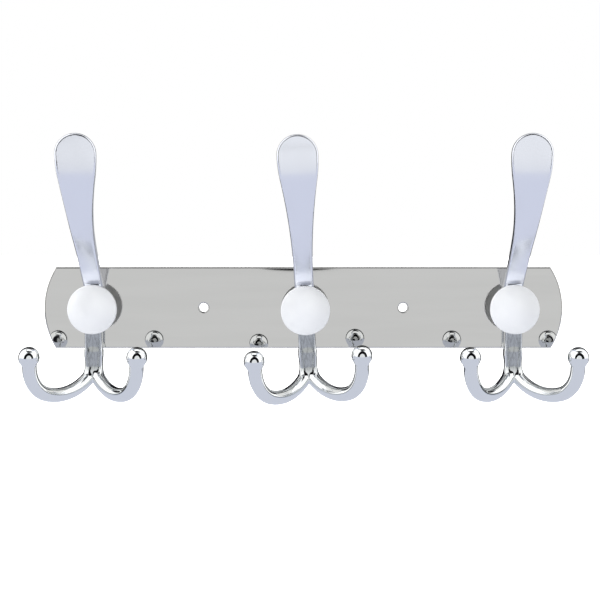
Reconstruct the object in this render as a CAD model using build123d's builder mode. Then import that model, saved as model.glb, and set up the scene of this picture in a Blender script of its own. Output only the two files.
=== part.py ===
"""Wall hook rack: a polished rail plate carrying three cast tri-hooks with round caps.

Frame: millimetres, X along the rail to the right as seen from the room, +Y into the wall, +Z up.
The origin is the centre of the plate's back face, which lies on the wall at Y = 0.
"""

import os
from math import asin, atan, cos, degrees, radians, sin

from build123d import *

# rail plate
PLATE_LENGTH = 320
PLATE_HEIGHT = 50
PLATE_THICK = 2.5
PLATE_END_RADIUS = 46.5
PLATE_EDGE_ROUND = 0.9
WALL_HOLE_DIA = 5.5
WALL_HOLE_SPACING = 123

# where the hooks stand on the rail, and how far each leans anticlockwise seen from the room
HOOK_SPACING = 128.3
HOOKS = {
    "left": (-HOOK_SPACING, 0, 0),
    "middle": (1.2, -0.6, 3),
    "right": (HOOK_SPACING, 0, 0),
}

# boss and cap
BOSS_DIA = 20
BOSS_HEIGHT = 10.5
CAP_DIA = 30
CAP_RIM = 2.2
CAP_CROWN = 5
CAP_EDGE_ROUND = 0.8
SPIGOT_DIA = 6
SPIGOT_LENGTH = 3
FIT_GAP = 0.03

# paddle-shaped upper hook: how it leans in side view
LEAN = 48.5
NECK_UP = 8
NECK_OUT = -1.3
BEND_UP = 44
BEND_RADIUS = 83.3
NECK_THICK = 5
BEND_THICK = 4.6
TIP_THICK = 3.8

# paddle-shaped upper hook: its outline seen from the room
NECK_HALF_WIDTH = 5.9
FLARE_START = 26
FLARE_RADIUS = 301
TIP_CENTRE = 92.5
TIP_RADIUS = 11.75
PADDLE_EDGE_ROUND = 1.5

# stem and the two lower prongs
STEM_WIDTH = 10.6
STEM_CORNER = 2.7
STEM_BACK = 1.3
STEM_TOP_FRONT = 10.4
STEM_BOTTOM_FRONT = 8.2
STEM_TAPER_START = -12
PRONG_START = (1.3, -34.8, 4.6)
PRONG_SPLAY = 51.6
PRONG_ARCS = ((10.3, 55.8), (36, 50.6), (18.2, 69.6))
PRONG_DIA = 8.5
BALL_UP = -24.9
BALL_DIA = 12.4

# the two screws behind each hook
SCREW_OFFSET = 6
SCREW_DIA = 4
SCREW_LENGTH = 9
SCREW_HEAD_DIA = 7.5
SCREW_HEAD_HEIGHT = 2.2
SCREW_SUNK = 0.1
SCREW_HOLE_DEPTH = 7
PLATE_HOLE_DIA = 4.3
RECESS_SPAN = 3.8
RECESS_WIDTH = 0.9
RECESS_DEPTH = 1.3


def hook_frame(across, up, tilt):
    """Plane on the plate's front: x across the hook, y up it, z out from the wall."""
    lean = radians(tilt)
    return Plane(origin=(across, -PLATE_THICK, up), x_dir=(cos(lean), 0, sin(lean)), z_dir=(0, -1, 0))


def side_plane(frame):
    """Plane through the hook's axis: x up the hook, y out from the wall."""
    return Plane(origin=frame.origin, x_dir=frame.y_dir, z_dir=frame.x_dir)


def make_paddle(frame):
    """Leaning blade cut to the paddle outline, with rounded edges."""
    along = Vector(cos(radians(LEAN)), sin(radians(LEAN)))
    outward = Vector(-along.Y, along.X)
    neck = Vector(NECK_UP, NECK_OUT)
    bend = neck + along * ((BEND_UP - NECK_UP) / along.X)
    tip = bend + Vector(BEND_RADIUS * along.Y, BEND_RADIUS * (1 - along.X))
    with BuildPart() as paddle:
        with BuildSketch(side_plane(frame)):
            with BuildLine():
                front = Line(neck + outward * (NECK_THICK / 2), bend + outward * (BEND_THICK / 2))
                front_bend = TangentArc(front @ 1, tip + Vector(0, TIP_THICK / 2), tangent=front % 1)
                back = Line(neck - outward * (NECK_THICK / 2), bend - outward * (BEND_THICK / 2))
                back_bend = TangentArc(back @ 1, tip - Vector(0, TIP_THICK / 2), tangent=back % 1)
                Line(front @ 0, back @ 0)
                Line(front_bend @ 1, back_bend @ 1)
            make_face()
        extrude(amount=TIP_RADIUS + 1, both=True)
        flare = 2 * degrees(atan((TIP_RADIUS - NECK_HALF_WIDTH) / (TIP_CENTRE - FLARE_START)))
        shoulder_radius = (TIP_CENTRE - FLARE_START) / sin(radians(flare)) - FLARE_RADIUS
        with BuildSketch(frame):
            with BuildLine():
                side = Line((NECK_HALF_WIDTH, 0), (NECK_HALF_WIDTH, FLARE_START))
                flare_arc = JernArc(side @ 1, side % 1, FLARE_RADIUS, -flare)
                shoulder = JernArc(flare_arc @ 1, flare_arc % 1, shoulder_radius, flare)
                JernArc(shoulder @ 1, shoulder % 1, TIP_RADIUS, 90)
                mirror(about=Plane.YZ)
                Line((-NECK_HALF_WIDTH, 0), side @ 0)
            make_face()
        extrude(amount=tip.Y + TIP_THICK, mode=Mode.INTERSECT)
        above_boss = paddle.edges().filter_by(
            lambda edge: frame.to_local_coords(edge.center()).Y > CAP_DIA / 2
        )
        fillet(above_boss, PADDLE_EDGE_ROUND)
    return paddle.part


def make_prong(frame, side):
    """Round prong that drops, sweeps outward and up in one splayed plane, with its ball."""
    start_across, start_up, start_out = PRONG_START
    start = frame.from_local_coords((side * start_across, start_up, start_out))
    splay = radians(PRONG_SPLAY)
    sideways = frame.x_dir * side * cos(splay) + frame.z_dir * sin(splay)
    splayed = Plane(origin=start, x_dir=sideways, z_dir=sideways.cross(frame.y_dir))
    with BuildPart() as prong:
        with BuildLine(splayed):
            path = Line((0, PRONG_DIA), (0, 0))
            for radius, turn in PRONG_ARCS:
                path = JernArc(path @ 1, path % 1, radius, turn)
            rise = BALL_UP - frame.to_local_coords(path @ 1).Y
            neck = Line(path @ 1, path @ 1 + (path % 1) * (rise / (path % 1).dot(frame.y_dir)))
        with BuildSketch(Plane(origin=start + frame.y_dir * PRONG_DIA, z_dir=-frame.y_dir)):
            Circle(PRONG_DIA / 2)
        sweep()
        with Locations(Location(neck @ 1)):
            Sphere(BALL_DIA / 2)
    return prong.part


def make_hook(frame):
    """One casting: boss, paddle, stem and two prongs, bored for its cap and screws."""
    stem_top = Plane(origin=frame.origin, x_dir=frame.x_dir, z_dir=-frame.y_dir)
    stem_sections = (
        (0, STEM_TOP_FRONT),
        (-STEM_TAPER_START, STEM_TOP_FRONT),
        (-PRONG_START[1], STEM_BOTTOM_FRONT),
    )
    with BuildPart() as hook:
        add(make_paddle(frame))
        with BuildSketch(frame):
            Circle(BOSS_DIA / 2)
        extrude(amount=BOSS_HEIGHT)
        for down, front in stem_sections:
            with BuildSketch(stem_top.offset(down)):
                with Locations((0, (STEM_BACK + front) / 2)):
                    RectangleRounded(STEM_WIDTH, front - STEM_BACK, STEM_CORNER)
        loft(ruled=True)
        add(make_prong(frame, -1))
        add(make_prong(frame, 1))
        with BuildSketch(frame.offset(BOSS_HEIGHT)):
            Circle(SPIGOT_DIA / 2)
        extrude(amount=-SPIGOT_LENGTH - FIT_GAP, mode=Mode.SUBTRACT)
        with BuildSketch(frame):
            with Locations((0, SCREW_OFFSET), (0, -SCREW_OFFSET)):
                Circle(SCREW_DIA / 2)
        extrude(amount=SCREW_HOLE_DEPTH, mode=Mode.SUBTRACT)
    return hook.part


def make_cap(frame):
    """Domed round cap with a spigot that sits in the boss."""
    crown_up = CAP_CROWN - CAP_RIM
    crown_radius = ((CAP_DIA / 2) ** 2 + crown_up**2) / (2 * crown_up)
    crown_angle = degrees(asin(CAP_DIA / 2 / crown_radius))
    with BuildPart() as cap:
        with BuildSketch(side_plane(frame)):
            with BuildLine():
                spigot = Polyline(
                    (0, BOSS_HEIGHT - SPIGOT_LENGTH),
                    (SPIGOT_DIA / 2 - FIT_GAP, BOSS_HEIGHT - SPIGOT_LENGTH),
                    (SPIGOT_DIA / 2 - FIT_GAP, BOSS_HEIGHT),
                    (CAP_DIA / 2, BOSS_HEIGHT),
                    (CAP_DIA / 2, BOSS_HEIGHT + CAP_RIM),
                )
                crown_centre = BOSS_HEIGHT + CAP_CROWN - crown_radius
                dome = CenterArc((0, crown_centre), crown_radius, 90 - crown_angle, crown_angle)
                Line(dome @ 1, spigot @ 0)
            profile = make_face()
            rim_corner = profile.vertices().sort_by(lambda vertex: vertex.X + vertex.Y)[-1]
            fillet(rim_corner, CAP_EDGE_ROUND)
        revolve(axis=Axis(frame.origin, frame.z_dir))
    return cap.part


def make_screw(frame, side):
    """Countersunk machine screw from behind the plate into the boss."""
    head_top = frame.offset(-PLATE_THICK + SCREW_SUNK)
    head = Plane(
        origin=head_top.from_local_coords((0, side * SCREW_OFFSET, 0)),
        x_dir=head_top.x_dir,
        z_dir=head_top.z_dir,
    )
    shank_radius = SCREW_DIA / 2 - FIT_GAP
    with BuildPart() as screw:
        with BuildSketch(head):
            Circle(SCREW_HEAD_DIA / 2)
        with BuildSketch(head.offset(SCREW_HEAD_HEIGHT)):
            Circle(shank_radius)
        loft()
        with BuildSketch(head):
            Circle(shank_radius)
        extrude(amount=SCREW_LENGTH)
        chamfer(screw.edges().sort_by(Axis(head.origin, head.z_dir))[-1], SCREW_DIA / 8)
        with BuildSketch(head):
            Rectangle(RECESS_SPAN, RECESS_WIDTH)
            Rectangle(RECESS_WIDTH, RECESS_SPAN)
        extrude(amount=RECESS_DEPTH, mode=Mode.SUBTRACT)
    return screw.part


def screw_hole_points():
    """Places of the hook screws on the plate, as X and Z."""
    points = []
    for place in HOOKS.values():
        for side in (1, -1):
            point = hook_frame(*place).from_local_coords((0, side * SCREW_OFFSET, 0))
            points.append((point.X, point.Z))
    return points


os.makedirs("parts", exist_ok=True)

plate_front = Plane(origin=(0, -PLATE_THICK, 0), x_dir=(1, 0, 0), z_dir=(0, -1, 0))
plate_back = Plane(origin=(0, 0, 0), x_dir=(-1, 0, 0), z_dir=(0, 1, 0))
end_sag = PLATE_END_RADIUS * (1 - cos(asin(PLATE_HEIGHT / 2 / PLATE_END_RADIUS)))
corner = (PLATE_LENGTH / 2 - end_sag, PLATE_HEIGHT / 2)

with BuildPart() as mounting_plate:
    with BuildSketch(plate_front):
        with BuildLine():
            right_end = ThreePointArc((corner[0], -corner[1]), (PLATE_LENGTH / 2, 0), corner)
            mirror(about=Plane.YZ)
            Line((-corner[0], corner[1]), corner)
            Line((-corner[0], -corner[1]), right_end @ 0)
        make_face()
        with Locations((-WALL_HOLE_SPACING / 2, 0), (WALL_HOLE_SPACING / 2, 0)):
            Circle(WALL_HOLE_DIA / 2, mode=Mode.SUBTRACT)
    extrude(amount=-PLATE_THICK)
    front_edges = mounting_plate.faces().sort_by(Axis.Y)[0].edges()
    fillet(front_edges, PLATE_EDGE_ROUND)
    with Locations(plate_back):
        with Locations(*[(-x, z) for x, z in screw_hole_points()]):
            CounterSinkHole(PLATE_HOLE_DIA / 2, SCREW_HEAD_DIA / 2 + 2 * SCREW_SUNK)
mounting_plate.part.label = "mounting_plate"
export_step(mounting_plate.part, "parts/mounting_plate.step")

for place, position in HOOKS.items():
    frame = hook_frame(*position)
    pieces = {
        f"hook_{place}": make_hook(frame),
        f"cap_{place}": make_cap(frame),
        f"hook_screw_{place}_upper": make_screw(frame, 1),
        f"hook_screw_{place}_lower": make_screw(frame, -1),
    }
    for name, piece in pieces.items():
        piece.label = name
        export_step(piece, f"parts/{name}.step")
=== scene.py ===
"""Looks of the wall hook rack: polished steel rail, three chromed tri-hooks and their satin caps."""

from math import atan, cos, pi, radians, sin

import bpy
import numpy as np
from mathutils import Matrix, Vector


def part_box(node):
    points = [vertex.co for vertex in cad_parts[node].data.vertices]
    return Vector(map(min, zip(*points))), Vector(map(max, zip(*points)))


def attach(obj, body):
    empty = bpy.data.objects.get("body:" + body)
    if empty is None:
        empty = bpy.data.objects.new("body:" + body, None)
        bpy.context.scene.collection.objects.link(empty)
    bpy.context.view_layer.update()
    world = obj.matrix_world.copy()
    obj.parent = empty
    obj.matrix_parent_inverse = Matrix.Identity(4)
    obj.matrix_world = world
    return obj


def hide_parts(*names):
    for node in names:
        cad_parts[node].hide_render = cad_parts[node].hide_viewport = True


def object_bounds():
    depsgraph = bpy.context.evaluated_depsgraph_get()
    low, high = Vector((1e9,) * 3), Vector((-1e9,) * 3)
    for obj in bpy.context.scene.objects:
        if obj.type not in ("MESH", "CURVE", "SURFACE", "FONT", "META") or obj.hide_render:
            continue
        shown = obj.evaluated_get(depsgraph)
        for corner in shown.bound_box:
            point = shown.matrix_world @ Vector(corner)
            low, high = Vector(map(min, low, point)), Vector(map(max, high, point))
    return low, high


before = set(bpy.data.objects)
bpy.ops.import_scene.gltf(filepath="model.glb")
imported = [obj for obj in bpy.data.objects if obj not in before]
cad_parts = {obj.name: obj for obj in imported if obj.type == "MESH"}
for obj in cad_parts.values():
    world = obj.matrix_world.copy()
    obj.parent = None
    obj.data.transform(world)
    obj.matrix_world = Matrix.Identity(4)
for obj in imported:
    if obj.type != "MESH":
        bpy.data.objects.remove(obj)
cad_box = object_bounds()

MM = 0.001
PLACES = ("left", "middle", "right")
MIDDLE_LEAN = radians(3)

# hook casting, in millimetres: across the hook, up it, out from the rail's front
PADDLE_LEAN = radians(48.5)
NECK_UP = 8
NECK_OUT = -1.3
BEND_UP = 44
BEND_RADIUS = 83.3
NECK_THICK = 5
BEND_THICK = 4.6
TIP_THICK = 3.8
NECK_HALF_WIDTH = 5.9
FLARE_START = 26
FLARE_RADIUS = 301
TIP_CENTRE = 92.5
TIP_RADIUS = 11.75
PADDLE_EDGE_ROUND = 1.4
BOSS_RADIUS = 10
BOSS_HEIGHT = 10.5
BOSS_EDGE_ROUND = 0.6
STEM_HALF_WIDTH = 5.3
STEM_CORNER = 2.7
STEM_BACK = 1.3
STEM_TOP_FRONT = 10.4
STEM_BOTTOM_FRONT = 8.2
STEM_TAPER_START = -12
STEM_RUN_IN = 6
PRONG_START = (1.3, -34.8, 4.6)
PRONG_SPLAY = radians(51.6)
PRONG_ARCS = ((10.3, 55.8), (36, 50.6), (18.2, 69.6))
PRONG_RADIUS = 4.25
BALL_UP = -24.9
BALL_RADIUS = 6.2
ROOT_BLEND = 1.5
STEM_BLEND = 2
FORK_BLEND = 0.9
BALL_BLEND = 0.8
SURFACE_STEP = 0.65

# cap, in millimetres
CAP_RADIUS = 15
CAP_RIM = 2.2
CAP_CROWN = 5
CAP_EDGE_ROUND = 0.8
SPIGOT_RADIUS = 2.97
SPIGOT_LENGTH = 3


# where the finishes, the painted shade and painted reflection on a hook, and the painted light under a
# cap change, in metres across, into the wall or up
PADDLE_FOOT = (0.008, 0.016)
STEM_EDGE = (0.0052, 0.0038)
STEM_SPAN = (-0.037, -0.012)
STEM_FACE = (-0.006, -0.0075)
CAP_UNDERSIDE = (-0.0109, -0.0105)

# studio, in metres from the middle of the rail
CAMERA_SIDE = -0.0033
CAMERA_DISTANCE = 0.735
CAMERA_RISE = 0.0695
FLOOR_DROP = 0.12
CARD_LEVEL = -0.084
CARD_FRONT = -0.34
CARD_BACK = 0.08
CARD_HALF_WIDTH = 0.7
FLAG_DISTANCE = -1.0
FLAG_FEET = -0.7
FLAG_STEPS = 48
BODY_CENTRE = (-0.004, -0.75, -0.013)
BODY_HALF_WIDTH = 0.068
BODY_HALF_HEIGHT = 0.012
BODY_CUT = 0.34
BODY_STEPS = 24


# ---------------------------------------------------------------- solids as distance fields

def both(a, b, radius):
    """Where two solids overlap, with the edge between them rounded."""
    a = a + radius
    b = b + radius
    outside = np.hypot(np.maximum(a, 0), np.maximum(b, 0))
    return np.minimum(np.maximum(a, b), 0) + outside - radius


def joined(a, b, radius):
    """Two solids run together, with a soft fillet between them."""
    near = np.maximum(radius - np.abs(a - b), 0) / radius
    return np.minimum(a, b) - near * near * radius / 4


def paddle_half_width(up):
    """Half of the paddle's width at each height: straight neck, hollow flare, full shoulder."""
    flare = 2 * atan((TIP_RADIUS - NECK_HALF_WIDTH) / (TIP_CENTRE - FLARE_START))
    shoulder_radius = (TIP_CENTRE - FLARE_START) / sin(flare) - FLARE_RADIUS
    shoulder_start = FLARE_START + FLARE_RADIUS * sin(flare)
    rise = np.clip(up - FLARE_START, 0, shoulder_start - FLARE_START)
    hollow = NECK_HALF_WIDTH + FLARE_RADIUS - np.sqrt(FLARE_RADIUS**2 - rise**2)
    below_tip = np.clip(TIP_CENTRE - up, 0, TIP_CENTRE - shoulder_start)
    full = TIP_RADIUS - shoulder_radius + np.sqrt(shoulder_radius**2 - below_tip**2)
    return np.where(up < shoulder_start, hollow, full)


def paddle(x, y, h):
    """Blade that leans out in a straight line and then bends back to the vertical."""
    along, across = cos(PADDLE_LEAN), sin(PADDLE_LEAN)
    straight = (BEND_UP - NECK_UP) / along
    run = (y - NECK_UP) * along + (h - NECK_OUT) * across
    off_line = (h - NECK_OUT) * along - (y - NECK_UP) * across
    centre_up = BEND_UP + BEND_RADIUS * across
    centre_out = NECK_OUT + straight * across - BEND_RADIUS * along
    off_bend = np.hypot(y - centre_up, h - centre_out) - BEND_RADIUS
    turned = PADDLE_LEAN - np.arctan2(centre_up - y, h - centre_out)
    bent = run > straight
    offset = np.where(bent, off_bend, off_line)
    thick = np.interp(run, (0, straight), (NECK_THICK, BEND_THICK))
    thick = np.where(bent, np.interp(turned, (0, PADDLE_LEAN), (BEND_THICK, TIP_THICK)), thick)
    round_tip = np.hypot(x, y - TIP_CENTRE) - TIP_RADIUS
    sides = np.where(y > TIP_CENTRE, round_tip, np.abs(x) - paddle_half_width(y))
    blade = both(np.abs(offset) - thick / 2, sides, PADDLE_EDGE_ROUND)
    return np.maximum(blade, -run)


def prong(x, y, h):
    """Round prong on the right: drops, sweeps out in one splayed plane, and rises to its ball."""
    across, up, out = PRONG_START
    u = (x - across) * cos(PRONG_SPLAY) + (h - out) * sin(PRONG_SPLAY)
    w = (h - out) * cos(PRONG_SPLAY) - (x - across) * sin(PRONG_SPLAY)
    v = y - up
    path = np.hypot(u, v - np.clip(v, 0, 2 * PRONG_RADIUS))
    centre_u, centre_v = PRONG_ARCS[0][0], 0
    heading = -90
    for place, (radius, turn) in enumerate(PRONG_ARCS):
        if place > 0:
            step = PRONG_ARCS[place - 1][0] - radius
            centre_u += step * sin(radians(heading))
            centre_v -= step * cos(radians(heading))
        angle = np.clip(np.arctan2(u - centre_u, centre_v - v), radians(heading), radians(heading + turn))
        arc = np.hypot(u - centre_u - radius * np.sin(angle), v - centre_v + radius * np.cos(angle))
        path = np.minimum(path, arc)
        heading += turn
    lean = radians(90 - heading)
    neck_u = centre_u + radius * cos(lean)
    neck_v = centre_v - radius * sin(lean)
    rise = BALL_UP - up - neck_v
    ball_u, ball_v = neck_u + rise * sin(lean) / cos(lean), neck_v + rise
    run = np.clip((u - neck_u) * sin(lean) + (v - neck_v) * cos(lean), 0, rise / cos(lean))
    path = np.minimum(path, np.hypot(u - neck_u - run * sin(lean), v - neck_v - run * cos(lean)))
    tube = np.hypot(path, w) - PRONG_RADIUS
    ball = np.sqrt((u - ball_u) ** 2 + (v - ball_v) ** 2 + w**2) - BALL_RADIUS
    return joined(tube, ball, BALL_BLEND)


def stem(x, y, h):
    """Bar with rounded corners from the boss down to the fork, where it narrows to a wedge."""
    foot = PRONG_START[1] - STEM_RUN_IN
    half_width = np.interp(y, (foot, PRONG_START[1] + STEM_RUN_IN), (STEM_CORNER / 2, STEM_HALF_WIDTH))
    front = np.interp(y, (PRONG_START[1], STEM_TAPER_START), (STEM_BOTTOM_FRONT, STEM_TOP_FRONT))
    middle = (STEM_BACK + front) / 2
    side = both(np.abs(x) - half_width, np.abs(h - middle) - (front - STEM_BACK) / 2, STEM_CORNER)
    return both(side, np.maximum(y, foot - y), STEM_CORNER)


def casting(x, y, h):
    """The whole hook casting."""
    boss = both(np.hypot(x, y) - BOSS_RADIUS, np.maximum(h - BOSS_HEIGHT, -h), BOSS_EDGE_ROUND)
    body = joined(boss, paddle(x, y, h), ROOT_BLEND)
    fork = joined(prong(x, y, h), prong(-x, y, h), FORK_BLEND)
    lower = joined(fork, stem(x, y, h), STEM_BLEND)
    whole = joined(body, lower, STEM_BLEND)
    under_cap = both(whole, h - BOSS_HEIGHT, BOSS_EDGE_ROUND)
    covered = (np.hypot(x, y) < CAP_RADIUS) & (y < CAP_RADIUS - 1)
    whole = np.where(covered, under_cap, whole)
    return both(whole, -h, BOSS_EDGE_ROUND)


# ---------------------------------------------------------------- even quad surface of a field

def surface(field, low, high, step):
    """Points and quads on a field's zero surface, one point per crossed cell."""
    axes = [np.arange(lo, hi + step, step) for lo, hi in zip(low, high)]
    values = field(*np.meshgrid(*axes, indexing="ij", sparse=True))
    inside = values < 0
    corners = [(i, j, k) for i in (0, 1) for j in (0, 1) for k in (0, 1)]
    cells = tuple(n - 1 for n in values.shape)

    def corner(array, at):
        return array[tuple(slice(a, a + n) for a, n in zip(at, cells))]

    count = sum(corner(inside, at).astype(np.int8) for at in corners)
    active = (count > 0) & (count < 8)
    place = np.argwhere(active)
    index = np.full(cells, -1)
    index[active] = np.arange(len(place))
    total = np.zeros((len(place), 3))
    crossings = np.zeros(len(place))
    for at in corners:
        for axis in range(3):
            if at[axis] == 0:
                to = list(at)
                to[axis] = 1
                start = values[tuple((place + at).T)]
                end = values[tuple((place + to).T)]
                crossed = (start < 0) != (end < 0)
                share = np.where(crossed, start / np.where(crossed, start - end, 1), 0)
                point = np.tile(np.array(at, float), (len(place), 1))
                point[:, axis] += share
                total += point * crossed[:, None]
                crossings += crossed
    points = np.array(low) + (place + total / crossings[:, None]) * step

    quads = []
    for axis in range(3):
        second, third = (axis + 1) % 3, (axis + 2) % 3
        here = np.moveaxis(inside, (axis, second, third), (0, 1, 2))
        cell = np.moveaxis(index, (axis, second, third), (0, 1, 2))
        leaves = here[:-1, 1:-1, 1:-1] & ~here[1:, 1:-1, 1:-1]
        enters = ~here[:-1, 1:-1, 1:-1] & here[1:, 1:-1, 1:-1]
        ring = [cell[:, :-1, :-1], cell[:, 1:, :-1], cell[:, 1:, 1:], cell[:, :-1, 1:]]
        quads.append(np.stack([r[leaves] for r in ring], axis=1))
        quads.append(np.stack([r[enters] for r in reversed(ring)], axis=1))
    return points, np.concatenate(quads)


def slope(field, points):
    """Unit normals of a field at points on it, and its steepness there."""
    tiny = 0.02
    grad = np.zeros_like(points)
    for axis in range(3):
        shift = np.zeros(3)
        shift[axis] = tiny
        grad[:, axis] = (field(*(points + shift).T) - field(*(points - shift).T)) / (2 * tiny)
    steep = np.linalg.norm(grad, axis=1, keepdims=True)
    return grad / steep, steep[:, 0]


def settle(field, points, quads):
    """Points spread evenly and drawn exactly onto the field's surface."""
    for _ in range(5):
        normal, steep = slope(field, points)
        points = points - normal * (field(*points.T) / steep)[:, None]
        total = np.zeros_like(points)
        count = np.zeros(len(points))
        for k in range(4):
            np.add.at(total, quads[:, k], points[quads[:, k - 1]] + points[quads[:, (k + 1) % 4]])
            np.add.at(count, quads[:, k], 2)
        drift = total / count[:, None] - points
        drift -= normal * (drift * normal).sum(axis=1)[:, None]
        points = points + 0.5 * drift
    for _ in range(3):
        normal, steep = slope(field, points)
        points = points - normal * (field(*points.T) / steep)[:, None]
    return points, slope(field, points)[0]


def new_piece(name, points, faces, normals=None):
    """Smooth mesh object in the row frame."""
    mesh = bpy.data.meshes.new(name)
    mesh.from_pydata(points.tolist(), [], faces if isinstance(faces, list) else faces.tolist())
    mesh.polygons.foreach_set("use_smooth", np.ones(len(mesh.polygons), bool))
    if normals is not None:
        mesh.normals_split_custom_set_from_vertices(normals.tolist())
    mesh.update()
    piece = bpy.data.objects.new(name, mesh)
    bpy.context.scene.collection.objects.link(piece)
    return piece


def outward(local):
    """Hook coordinates, in millimetres, as across, into the wall and up."""
    x, y, h = local.T
    return np.stack([x, -h, y], axis=1)


def put_on_rail(piece, place):
    """Stand a piece made in hook coordinates at its place on the rail."""
    low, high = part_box(f"cap_{place}")
    rail_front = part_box("mounting_plate")[0].y
    piece.location = ((low.x + high.x) / 2, rail_front, (low.z + high.z) / 2)
    piece.rotation_euler = (0, -MIDDLE_LEAN if place == "middle" else 0, 0)


# ---------------------------------------------------------------- materials

class Maths:
    """Short names for a node tree's sums."""

    def __init__(self, tree):
        self.tree = tree

    def do(self, operation, a, b=None):
        node = self.tree.nodes.new("ShaderNodeMath")
        node.operation = operation
        for socket, value in zip(node.inputs, (a, b)):
            if isinstance(value, (int, float)):
                socket.default_value = value
            elif value is not None:
                self.tree.links.new(value, socket)
        return node.outputs[0]

    def step(self, value, start, end, before=0, after=1):
        """One number before start, another after end, smooth between; start may be above end."""
        node = self.tree.nodes.new("ShaderNodeMapRange")
        node.interpolation_type = "SMOOTHSTEP"
        if start > end:
            start, end, before, after = end, start, after, before
        self.tree.links.new(value, node.inputs["Value"])
        node.inputs["From Min"].default_value = start
        node.inputs["From Max"].default_value = end
        node.inputs["To Min"].default_value = before
        node.inputs["To Max"].default_value = after
        return node.outputs["Result"]

    def band(self, value, low, high, soft):
        rise = self.step(value, low - soft / 2, low + soft / 2)
        fall = self.step(value, high + soft / 2, high - soft / 2)
        return self.do("MULTIPLY", rise, fall)

    def mix(self, share, a, b):
        node = self.tree.nodes.new("ShaderNodeMix")
        node.data_type = "RGBA"
        self.tree.links.new(share, node.inputs[0])
        for socket, value in zip(node.inputs[6:8], (a, b)):
            if isinstance(value, tuple):
                socket.default_value = (*value, 1)
            else:
                self.tree.links.new(value, socket)
        return node.outputs[2]

    def place(self, kind="Object"):
        """Across, into the wall and up, in metres, on a piece; or a direction in the world."""
        spot = self.tree.nodes.new("ShaderNodeTexCoord")
        split = self.tree.nodes.new("ShaderNodeSeparateXYZ")
        self.tree.links.new(spot.outputs[kind], split.inputs[0])
        return split.outputs

    def noise(self, scale, detail=2, stretch=(1, 1, 1)):
        spot = self.tree.nodes.new("ShaderNodeTexCoord")
        mapping = self.tree.nodes.new("ShaderNodeMapping")
        texture = self.tree.nodes.new("ShaderNodeTexNoise")
        mapping.inputs["Scale"].default_value = stretch
        texture.inputs["Scale"].default_value = scale
        texture.inputs["Detail"].default_value = detail
        self.tree.links.new(spot.outputs["Object"], mapping.inputs["Vector"])
        self.tree.links.new(mapping.outputs[0], texture.inputs["Vector"])
        return texture.outputs[0]


def metal(name):
    """Bare metal: its shader and the sums of its node tree."""
    made = bpy.data.materials.new(name)
    made.use_nodes = True
    shader = made.node_tree.nodes["Principled BSDF"]
    shader.inputs["Metallic"].default_value = 1
    return made, shader, Maths(made.node_tree)


def chrome_material():
    """Chrome: satin paddles with painted shade darkening their backs, polished prongs, and a painted dark
    reflection on the stem's front face, broken up by grain noise.
    """
    made, shader, m = metal("bright_chrome")
    link = made.node_tree.links.new
    x, y, z = m.place()
    paddle_part = m.step(z, *PADDLE_FOOT)
    cloud = m.noise(60)
    color = m.mix(paddle_part, (0.845, 0.865, 0.87), (0.9, 0.92, 0.985))
    color = m.mix(m.step(cloud, 0.35, 0.7, 0, 0.12), color, (0.78, 0.8, 0.84))
    # painted shade: the backs of the paddles, facing the wall, get a darker base colour
    paddle_back_painted_shade = m.do("MULTIPLY", paddle_part, m.step(m.place("Normal")[1], 0.15, 0.5))
    color = m.mix(paddle_back_painted_shade, color, (0.5, 0.51, 0.54))
    width = m.do("ABSOLUTE", x)
    # painted reflection: the stem's front face gets a dark grey base colour, broken up by grain noise
    stem_part = m.do("MULTIPLY", m.step(width, *STEM_EDGE), m.band(z, *STEM_SPAN, 0.006))
    stem_part = m.do("MULTIPLY", stem_part, m.step(y, *STEM_FACE))
    grain = m.noise(700, 3, (1.6, 1, 0.5))
    stem_face_painted_reflection = m.do("MULTIPLY", stem_part, m.step(grain, 0.4, 0.7, 0.75, 1))
    color = m.mix(stem_face_painted_reflection, color, (0.36, 0.375, 0.37))
    link(color, shader.inputs["Base Color"])
    rough = m.do("ADD", m.step(z, *PADDLE_FOOT, 0.03, 0.17), m.step(cloud, 0.3, 0.7, 0, 0.02))
    rough = m.do("ADD", rough, m.do("MULTIPLY", stem_part, 0.1))
    link(rough, shader.inputs["Roughness"])
    return made


def cap_material():
    """Satin cap with a faint cloudiness, and painted light making its underside and spigot pale."""
    made, shader, m = metal("satin_cap")
    link = made.node_tree.links.new
    cloud = m.noise(90)
    face = m.mix(m.step(cloud, 0.3, 0.7), (0.61, 0.62, 0.64), (0.63, 0.64, 0.655))
    # painted light: the cap's underside and spigot get a near-white base colour, standing in for light
    # bounced off the rail
    underside_painted_light = m.step(m.place()[1], *CAP_UNDERSIDE)
    link(m.mix(underside_painted_light, face, (0.92, 0.92, 0.91)), shader.inputs["Base Color"])
    link(m.step(cloud, 0.3, 0.7, 0.4, 0.44), shader.inputs["Roughness"])
    shader.inputs["Metallic"].default_value = 0.5
    return made


def rail_material():
    """Mirror-polished stainless steel with long faint polishing streaks."""
    made, shader, m = metal("polished_steel")
    link = made.node_tree.links.new
    streak = m.noise(40, 3, (0.25, 1, 3))
    color = m.mix(m.step(streak, 0.3, 0.7), (0.625, 0.62, 0.605), (0.645, 0.64, 0.625))
    link(color, shader.inputs["Base Color"])
    link(m.step(streak, 0.3, 0.7, 0.015, 0.04), shader.inputs["Roughness"])
    return made


def screw_material():
    """Zinc plate with a fine mottle."""
    made, shader, m = metal("zinc_screw")
    link = made.node_tree.links.new
    mottle = m.noise(1400, 3)
    color = m.mix(m.step(mottle, 0.35, 0.65), (0.52, 0.53, 0.55), (0.66, 0.67, 0.68))
    link(color, shader.inputs["Base Color"])
    link(m.step(mottle, 0.35, 0.65, 0.26, 0.4), shader.inputs["Roughness"])
    return made


# ---------------------------------------------------------------- pieces

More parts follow.
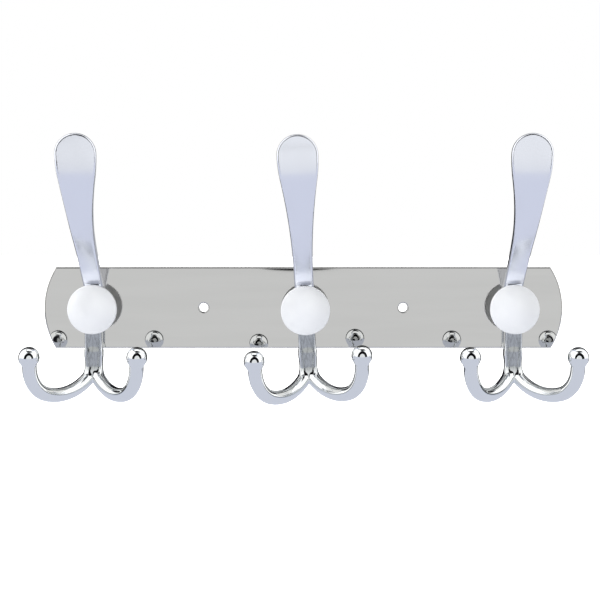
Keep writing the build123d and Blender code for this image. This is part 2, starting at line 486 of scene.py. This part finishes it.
def add_hooks(finish):
    low, high = (-40, -58, -2), (40, TIP_CENTRE + TIP_RADIUS + 2, 74)
    points, quads = surface(casting, low, high, SURFACE_STEP)
    points, normals = settle(casting, points, quads)
    for place in PLACES:
        piece = new_piece(f"tri_hook_{place}", outward(points) * MM, quads, outward(normals))
        put_on_rail(piece, place)
        piece.data.materials.append(finish)
        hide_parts(f"hook_{place}")
        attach(piece, "root")


def cap_profile():
    """Outline of a cap from its crown to its spigot, as radius and height off the rail."""
    crown_up = CAP_CROWN - CAP_RIM
    crown_radius = (CAP_RADIUS**2 + crown_up**2) / (2 * crown_up)
    top = BOSS_HEIGHT + CAP_CROWN
    inner = CAP_RADIUS - CAP_EDGE_ROUND
    tilt = inner / crown_radius
    dome = [(crown_radius * sin(a), top - crown_radius * (1 - cos(a))) for a in np.linspace(0, tilt, 20)]
    edge_up = dome[-1][1] - CAP_EDGE_ROUND
    edge = [
        (inner + CAP_EDGE_ROUND * sin(a), edge_up + CAP_EDGE_ROUND * cos(a))
        for a in np.linspace(tilt, pi / 2, 8)[1:]
    ]
    under = [
        (CAP_RADIUS, BOSS_HEIGHT + 0.2),
        (CAP_RADIUS - 0.2, BOSS_HEIGHT),
        (SPIGOT_RADIUS, BOSS_HEIGHT),
        (SPIGOT_RADIUS, BOSS_HEIGHT - SPIGOT_LENGTH),
        (0, BOSS_HEIGHT - SPIGOT_LENGTH),
    ]
    return dome + edge + under


def lathe(profile, segments):
    """Points and faces of an outline turned about its axis; the first and last points lie on the axis."""
    rings = profile[1:-1]
    angles = np.linspace(0, 2 * pi, segments, endpoint=False)
    points = [(r * cos(a), r * sin(a), h) for r, h in rings for a in angles]
    points += [(0, 0, profile[0][1]), (0, 0, profile[-1][1])]
    faces = []
    for k in range(segments):
        after = (k + 1) % segments
        for ring in range(len(rings) - 1):
            a, b = ring * segments, (ring + 1) * segments
            faces.append((a + k, b + k, b + after, a + after))
        faces.append((len(points) - 2, k, after))
        last = (len(rings) - 1) * segments
        faces.append((len(points) - 1, last + after, last + k))
    return np.array(points), faces


def add_caps(finish):
    points, faces = lathe(cap_profile(), 128)
    for place in PLACES:
        piece = new_piece(f"domed_cap_{place}", outward(points) * MM, faces)
        put_on_rail(piece, place)
        piece.data.set_sharp_from_angle(angle=radians(30))
        piece.data.materials.append(finish)
        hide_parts(f"cap_{place}")
        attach(piece, "root")


def finish_cad_nodes(rail_finish, screw_finish):
    for name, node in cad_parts.items():
        if name == "mounting_plate":
            node.material_slots[0].material = rail_finish
        elif name.startswith("hook_screw"):
            node.material_slots[0].material = screw_finish


# ---------------------------------------------------------------- studio

def add_camera():
    """Long lens straight at the rail from a little above it."""
    low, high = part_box("mounting_plate")
    data = bpy.data.cameras.new("camera")
    data.sensor_width = 36
    data.lens = 71.5
    data.shift_x = 0.0033
    data.shift_y = -0.175
    camera = bpy.data.objects.new("camera", data)
    centre_x, centre_z = (low.x + high.x) / 2, (low.z + high.z) / 2
    camera.location = (centre_x + CAMERA_SIDE, low.y - CAMERA_DISTANCE, centre_z + CAMERA_RISE)
    camera.rotation_euler = (pi / 2, 0, 0)
    bpy.context.scene.collection.objects.link(camera)
    bpy.context.scene.camera = camera


def add_floor():
    mesh = bpy.data.meshes.new("floor")
    half, level = 4, cad_box[0][2] - FLOOR_DROP
    points = [(-half, -half, level), (half, -half, level), (half, half, level), (-half, half, level)]
    mesh.from_pydata(points, [], [(0, 1, 2, 3)])
    floor = bpy.data.objects.new("floor", mesh)
    bpy.context.scene.collection.objects.link(floor)
    finish = bpy.data.materials.new("pale_floor")
    finish.use_nodes = True
    shader = finish.node_tree.nodes["Principled BSDF"]
    shader.inputs["Base Color"].default_value = (0.95, 0.95, 0.95, 1)
    shader.inputs["Emission Color"].default_value = (1, 1, 1, 1)
    shader.inputs["Emission Strength"].default_value = 0.6
    floor.data.materials.append(finish)
    floor.visible_glossy = False


def glow(name, color):
    """Even self-lit finish for what the metal mirrors."""
    made = bpy.data.materials.new(name)
    made.use_nodes = True
    shader = made.node_tree.nodes["Principled BSDF"]
    shader.inputs["Base Color"].default_value = (0, 0, 0, 1)
    shader.inputs["Specular IOR Level"].default_value = 0
    shader.inputs["Emission Color"].default_value = (*color, 1)
    shader.inputs["Emission Strength"].default_value = 1
    return made


def add_studio_piece(name, points, faces, finish):
    """Card or flag that only shows as a reflection in the metal."""
    piece = new_piece(name, np.array(points), faces)
    piece.data.materials.append(finish)
    piece.visible_camera = False
    piece.visible_diffuse = False
    piece.visible_shadow = False
    return piece


def add_card():
    """Pale lavender card lying under the rack, ending a little way in front of it."""
    corners = ((-1, CARD_FRONT), (1, CARD_FRONT), (1, CARD_BACK), (-1, CARD_BACK))
    points = [(side * CARD_HALF_WIDTH, along, CARD_LEVEL) for side, along in corners]
    add_studio_piece("lavender_card", points, [(0, 1, 2, 3)], glow("lavender", (0.66, 0.685, 0.78)))


def add_flag():
    """Black arch standing behind the camera, and the foot of a small black body in front of it."""
    points, faces = [], []
    for t in np.linspace(0, pi, FLAG_STEPS):
        flat, rise = cos(t), sin(t)
        outer_across = 0.2 + 1.27 * np.sign(flat) * abs(flat) ** 1.4
        points.append((outer_across, FLAG_DISTANCE, -0.37 + 1.93 * rise))
        points.append((0.08 + 0.54 * flat, FLAG_DISTANCE, -0.29 + 0.75 * rise))
    for k in range(FLAG_STEPS - 1):
        faces.append((2 * k, 2 * k + 2, 2 * k + 3, 2 * k + 1))
    for foot in (0, 2 * FLAG_STEPS - 2):
        outer, inner = points[foot], points[foot + 1]
        points += [(outer[0], FLAG_DISTANCE, FLAG_FEET), (inner[0], FLAG_DISTANCE, FLAG_FEET)]
        faces.append((foot, foot + 1, len(points) - 1, len(points) - 2))
    cloth = glow("black_cloth", (0.005, 0.005, 0.006))
    add_studio_piece("black_flag", points, faces, cloth)
    across, along, up = BODY_CENTRE
    turns = np.linspace(pi + BODY_CUT, 2 * pi - BODY_CUT, BODY_STEPS)
    body = [(BODY_HALF_WIDTH * cos(t) + across, along, BODY_HALF_HEIGHT * sin(t) + up) for t in turns]
    add_studio_piece("camera_body", body, [tuple(range(BODY_STEPS))], cloth)


def add_key_light():
    """Key light from high on the left; the metal doesn't mirror it."""
    data = bpy.data.lights.new("key_light", "SUN")
    data.energy = 4.6
    data.angle = radians(30)
    light = bpy.data.objects.new("key_light", data)
    light.rotation_mode = "QUATERNION"
    light.rotation_quaternion = Vector((-0.61, -0.5, 0.61)).to_track_quat("Z", "Y")
    light.visible_glossy = False
    bpy.context.scene.collection.objects.link(light)


def add_world():
    world = bpy.data.worlds.new("studio")
    bpy.context.scene.world = world
    world.use_nodes = True
    tree = world.node_tree
    nodes, links = tree.nodes, tree.links
    nodes.clear()
    m = Maths(tree)
    x, y, z = m.place("Generated")
    degrees = 180 / pi
    azimuth = m.do("MULTIPLY", m.do("ARCTAN2", x, m.do("MULTIPLY", y, -1)), degrees)
    elevation = m.do("MULTIPLY", m.do("ARCSINE", z), degrees)
    from_wall = m.do("MULTIPLY", m.do("ARCCOSINE", y), degrees)

    color = m.mix(m.step(elevation, -60, -15), (0.6, 0.62, 0.68), (0.86, 0.87, 0.88))
    panels = (
        (-128, -28, -40, 66, 5, (1.3, 1.3, 1.3)),
        (32, 128, -40, 50, 5, (1.3, 1.3, 1.3)),
    )
    dark = (0.012, 0.012, 0.015)
    color = m.mix(m.step(elevation, 56, 62), color, dark)
    for az0, az1, el0, el1, soft, tint in panels:
        share = m.do("MULTIPLY", m.band(azimuth, az0, az1, soft), m.band(elevation, el0, el1, soft))
        color = m.mix(share, color, tint)
    above = m.do("MAXIMUM", z, 0.05)
    top_across = m.do("DIVIDE", x, above)
    top_along = m.do("DIVIDE", y, above)
    share = m.do("MULTIPLY", m.band(top_across, -0.36, 0.84, 0.08), m.band(top_along, -0.13, 0.31, 0.08))
    share = m.do("MULTIPLY", share, m.step(elevation, 30, 34))
    color = m.mix(share, color, (1.4, 1.4, 1.4))
    beyond = m.do("SUBTRACT", from_wall, m.step(x, -0.12, 0.1, 3, 34))
    behind = m.step(from_wall, 62, 56)
    color = m.mix(behind, color, dark)
    color = m.mix(m.step(beyond, 2, -2), color, (0.45, 0.46, 0.47))

    path = nodes.new("ShaderNodeLightPath")
    color = m.mix(path.outputs["Is Camera Ray"], color, (1.0, 1.0, 1.0))
    background = nodes.new("ShaderNodeBackground")
    links.new(color, background.inputs["Color"])
    output = nodes.new("ShaderNodeOutputWorld")
    links.new(background.outputs[0], output.inputs["Surface"])


add_hooks(chrome_material())
add_caps(cap_material())
finish_cad_nodes(rail_material(), screw_material())
add_camera()
add_floor()
add_card()
add_flag()
add_key_light()
add_world()
bpy.context.scene.view_settings.view_transform = "Standard"
